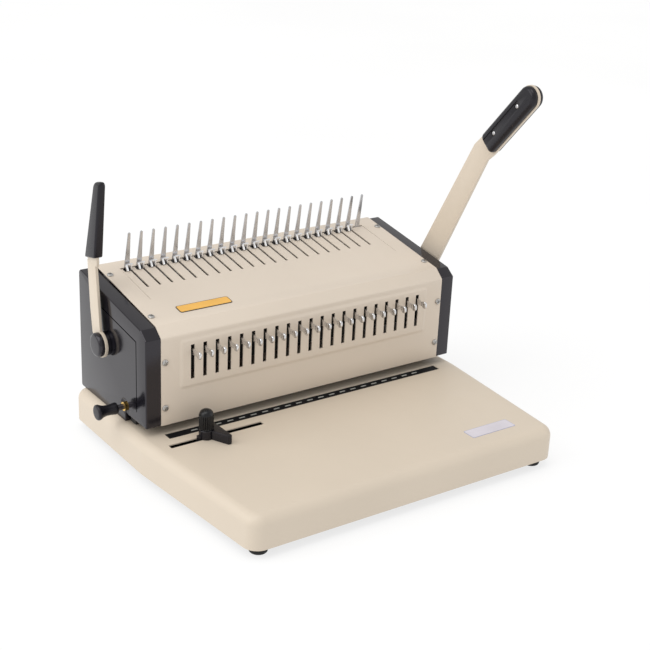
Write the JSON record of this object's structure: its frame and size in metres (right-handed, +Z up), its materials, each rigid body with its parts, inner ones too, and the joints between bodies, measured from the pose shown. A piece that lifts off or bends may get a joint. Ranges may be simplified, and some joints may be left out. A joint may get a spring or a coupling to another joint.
{
  "type": "comb binding machine",
  "caption": "Manual comb binding machine with a punch lever, a ring opening lever, selector tabs, tines, paper guide and chip tray.",
  "frame": {"origin": "on the desk, below the middle of the front cover's upright face", "axes": "+X along the hole row to the operator's right, -Y towards the operator, +Z up"},
  "size_m": [0.4365, 0.3395, 0.3856],
  "materials": {
    "painted_steel": "satin",
    "base_paint": "satin",
    "black_plastic": "gloss",
    "black_grip": "satin",
    "rubber": "matte",
    "strip_plastic": "satin",
    "label_film": "satin",
    "badge_foil": "satin",
    "zinc_steel": "satin",
    "bright_steel": "polished",
    "tool_steel": "satin",
    "brass": "satin",
    "spring_steel": "satin"
  },
  "bodies": {
    "machine": {"base_shell": "base_paint", "base_plate": "black_grip", "rubber_feet": "rubber", "marker_strip": "strip_plastic", "label_plate": "label_film", "front_cover": "painted_steel", "rear_cover": "painted_steel", "left_cap": "black_plastic", "right_cap": "black_plastic", "left_frame": "zinc_steel", "right_frame": "zinc_steel", "body_screws": "bright_steel", "badge_plate": "badge_foil", "die_plate": "tool_steel", "punch_guide": "tool_steel", "guide_posts": "bright_steel", "return_springs": "spring_steel", "tine_comb": "bright_steel", "hook_rails": "zinc_steel", "shaft_bushes": "brass"},
    "punch_ram": {"punch_beam": "tool_steel", "punch_pins": "bright_steel", "punch_racks": "tool_steel"},
    "punch_arm": {"punch_shaft": "tool_steel", "punch_lever": "painted_steel", "punch_grip": "black_grip", "grip_screws": "bright_steel"},
    "hook_slider": {"hook_carriage": "zinc_steel", "ring_hooks": "bright_steel"},
    "bind_arm": {"bind_shaft": "tool_steel", "bind_lever": "painted_steel", "bind_grip": "black_grip", "bind_cap": "black_plastic"},
    "depth_dial": {"depth_shaft": "bright_steel", "depth_knob": "black_grip"},
    "stop_slider": {"paper_stop": "zinc_steel"},
    "guide_slider": {"side_guide": "black_grip"},
    "guide_clamp": {"guide_knob": "black_grip"},
    "tray": {"chip_tray": "black_grip"},
    "tab_01": {"selector_tab_01": "bright_steel"},
    "tab_02": {"selector_tab_02": "bright_steel"},
    "tab_03": {"selector_tab_03": "bright_steel"},
    "tab_04": {"selector_tab_04": "bright_steel"},
    "tab_05": {"selector_tab_05": "bright_steel"},
    "tab_06": {"selector_tab_06": "bright_steel"},
    "tab_07": {"selector_tab_07": "bright_steel"},
    "tab_08": {"selector_tab_08": "bright_steel"},
    "tab_09": {"selector_tab_09": "bright_steel"},
    "tab_10": {"selector_tab_10": "bright_steel"},
    "tab_11": {"selector_tab_11": "bright_steel"},
    "tab_12": {"selector_tab_12": "bright_steel"},
    "tab_13": {"selector_tab_13": "bright_steel"},
    "tab_14": {"selector_tab_14": "bright_steel"},
    "tab_15": {"selector_tab_15": "bright_steel"},
    "tab_16": {"selector_tab_16": "bright_steel"},
    "tab_17": {"selector_tab_17": "bright_steel"},
    "tab_18": {"selector_tab_18": "bright_steel"},
    "tab_19": {"selector_tab_19": "bright_steel"},
    "tab_20": {"selector_tab_20": "bright_steel"},
    "tab_21": {"selector_tab_21": "bright_steel"}
  },
  "joints": [
    {"name": "punch_lever_turn", "type": "hinge", "parent": "machine", "child": "punch_arm", "pos_m": [0, 0.0945, 0.084], "axis": [1, 0, 0], "range_deg": [0, 60]},
    {"name": "punch_stroke", "type": "slide", "parent": "machine", "child": "punch_ram", "axis": [0, 0, -1], "range_m": [0, 0.0252], "stiffness_N_per_m": 3000, "springref_m": -0.026, "deforming": ["return_springs"]},
    {"name": "bind_lever_turn", "type": "hinge", "parent": "machine", "child": "bind_arm", "pos_m": [0, 0.0864, 0.1176], "axis": [1, 0, 0], "range_deg": [0, 56]},
    {"name": "hook_slide", "type": "slide", "parent": "machine", "child": "hook_slider", "axis": [0, -0.9864, -0.1644], "range_m": [0, 0.0353]},
    {"name": "depth_turn", "type": "hinge", "parent": "machine", "child": "depth_dial", "pos_m": [0, 0.0464, 0.0623], "axis": [1, 0, 0], "range_deg": [-34, 22]},
    {"name": "stop_slide", "type": "slide", "parent": "machine", "child": "stop_slider", "axis": [0, 1, 0], "range_m": [-0.00237, 0.00153]},
    {"name": "guide_slide", "type": "slide", "parent": "machine", "child": "guide_slider", "axis": [1, 0, 0], "range_m": [-0.032, 0.057]},
    {"name": "guide_clamp_turn", "type": "hinge", "parent": "guide_slider", "child": "guide_clamp", "pos_m": [-0.1415, -0.0266, 0.06], "axis": [0, 0, 1], "range_deg": [0, 120]},
    {"name": "tray_slide", "type": "slide", "parent": "machine", "child": "tray", "axis": [1, 0, 0], "range_m": [0, 0.25]},
    {"name": "tab_slide_01", "type": "slide", "parent": "punch_ram", "child": "tab_01", "axis": [0, -1, 0], "range_m": [0, 0.008]},
    {"name": "tab_slide_02", "type": "slide", "parent": "punch_ram", "child": "tab_02", "axis": [0, -1, 0], "range_m": [0, 0.008]},
    {"name": "tab_slide_03", "type": "slide", "parent": "punch_ram", "child": "tab_03", "axis": [0, -1, 0], "range_m": [0, 0.008]},
    {"name": "tab_slide_04", "type": "slide", "parent": "punch_ram", "child": "tab_04", "axis": [0, -1, 0], "range_m": [0, 0.008]},
    {"name": "tab_slide_05", "type": "slide", "parent": "punch_ram", "child": "tab_05", "axis": [0, -1, 0], "range_m": [0, 0.008]},
    {"name": "tab_slide_06", "type": "slide", "parent": "punch_ram", "child": "tab_06", "axis": [0, -1, 0], "range_m": [0, 0.008]},
    {"name": "tab_slide_07", "type": "slide", "parent": "punch_ram", "child": "tab_07", "axis": [0, -1, 0], "range_m": [0, 0.008]},
    {"name": "tab_slide_08", "type": "slide", "parent": "punch_ram", "child": "tab_08", "axis": [0, -1, 0], "range_m": [0, 0.008]},
    {"name": "tab_slide_09", "type": "slide", "parent": "punch_ram", "child": "tab_09", "axis": [0, -1, 0], "range_m": [0, 0.008]},
    {"name": "tab_slide_10", "type": "slide", "parent": "punch_ram", "child": "tab_10", "axis": [0, -1, 0], "range_m": [0, 0.008]},
    {"name": "tab_slide_11", "type": "slide", "parent": "punch_ram", "child": "tab_11", "axis": [0, -1, 0], "range_m": [0, 0.008]},
    {"name": "tab_slide_12", "type": "slide", "parent": "punch_ram", "child": "tab_12", "axis": [0, -1, 0], "range_m": [0, 0.008]},
    {"name": "tab_slide_13", "type": "slide", "parent": "punch_ram", "child": "tab_13", "axis": [0, -1, 0], "range_m": [0, 0.008]},
    {"name": "tab_slide_14", "type": "slide", "parent": "punch_ram", "child": "tab_14", "axis": [0, -1, 0], "range_m": [0, 0.008]},
    {"name": "tab_slide_15", "type": "slide", "parent": "punch_ram", "child": "tab_15", "axis": [0, -1, 0], "range_m": [0, 0.008]},
    {"name": "tab_slide_16", "type": "slide", "parent": "punch_ram", "child": "tab_16", "axis": [0, -1, 0], "range_m": [0, 0.008]},
    {"name": "tab_slide_17", "type": "slide", "parent": "punch_ram", "child": "tab_17", "axis": [0, -1, 0], "range_m": [0, 0.008]},
    {"name": "tab_slide_18", "type": "slide", "parent": "punch_ram", "child": "tab_18", "axis": [0, -1, 0], "range_m": [0, 0.008]},
    {"name": "tab_slide_19", "type": "slide", "parent": "punch_ram", "child": "tab_19", "axis": [0, -1, 0], "range_m": [0, 0.008]},
    {"name": "tab_slide_20", "type": "slide", "parent": "punch_ram", "child": "tab_20", "axis": [0, -1, 0], "range_m": [0, 0.008]},
    {"name": "tab_slide_21", "type": "slide", "parent": "punch_ram", "child": "tab_21", "axis": [0, -1, 0], "range_m": [0, 0.008]}
  ],
  "couplings": [
    {"joint": "punch_stroke", "follows": "punch_lever_turn", "m_per_rad": 0.024},
    {"joint": "hook_slide", "follows": "bind_lever_turn", "m_per_rad": 0.036},
    {"joint": "depth_turn", "follows": "stop_slide", "rad_per_m": 250}
  ]
}
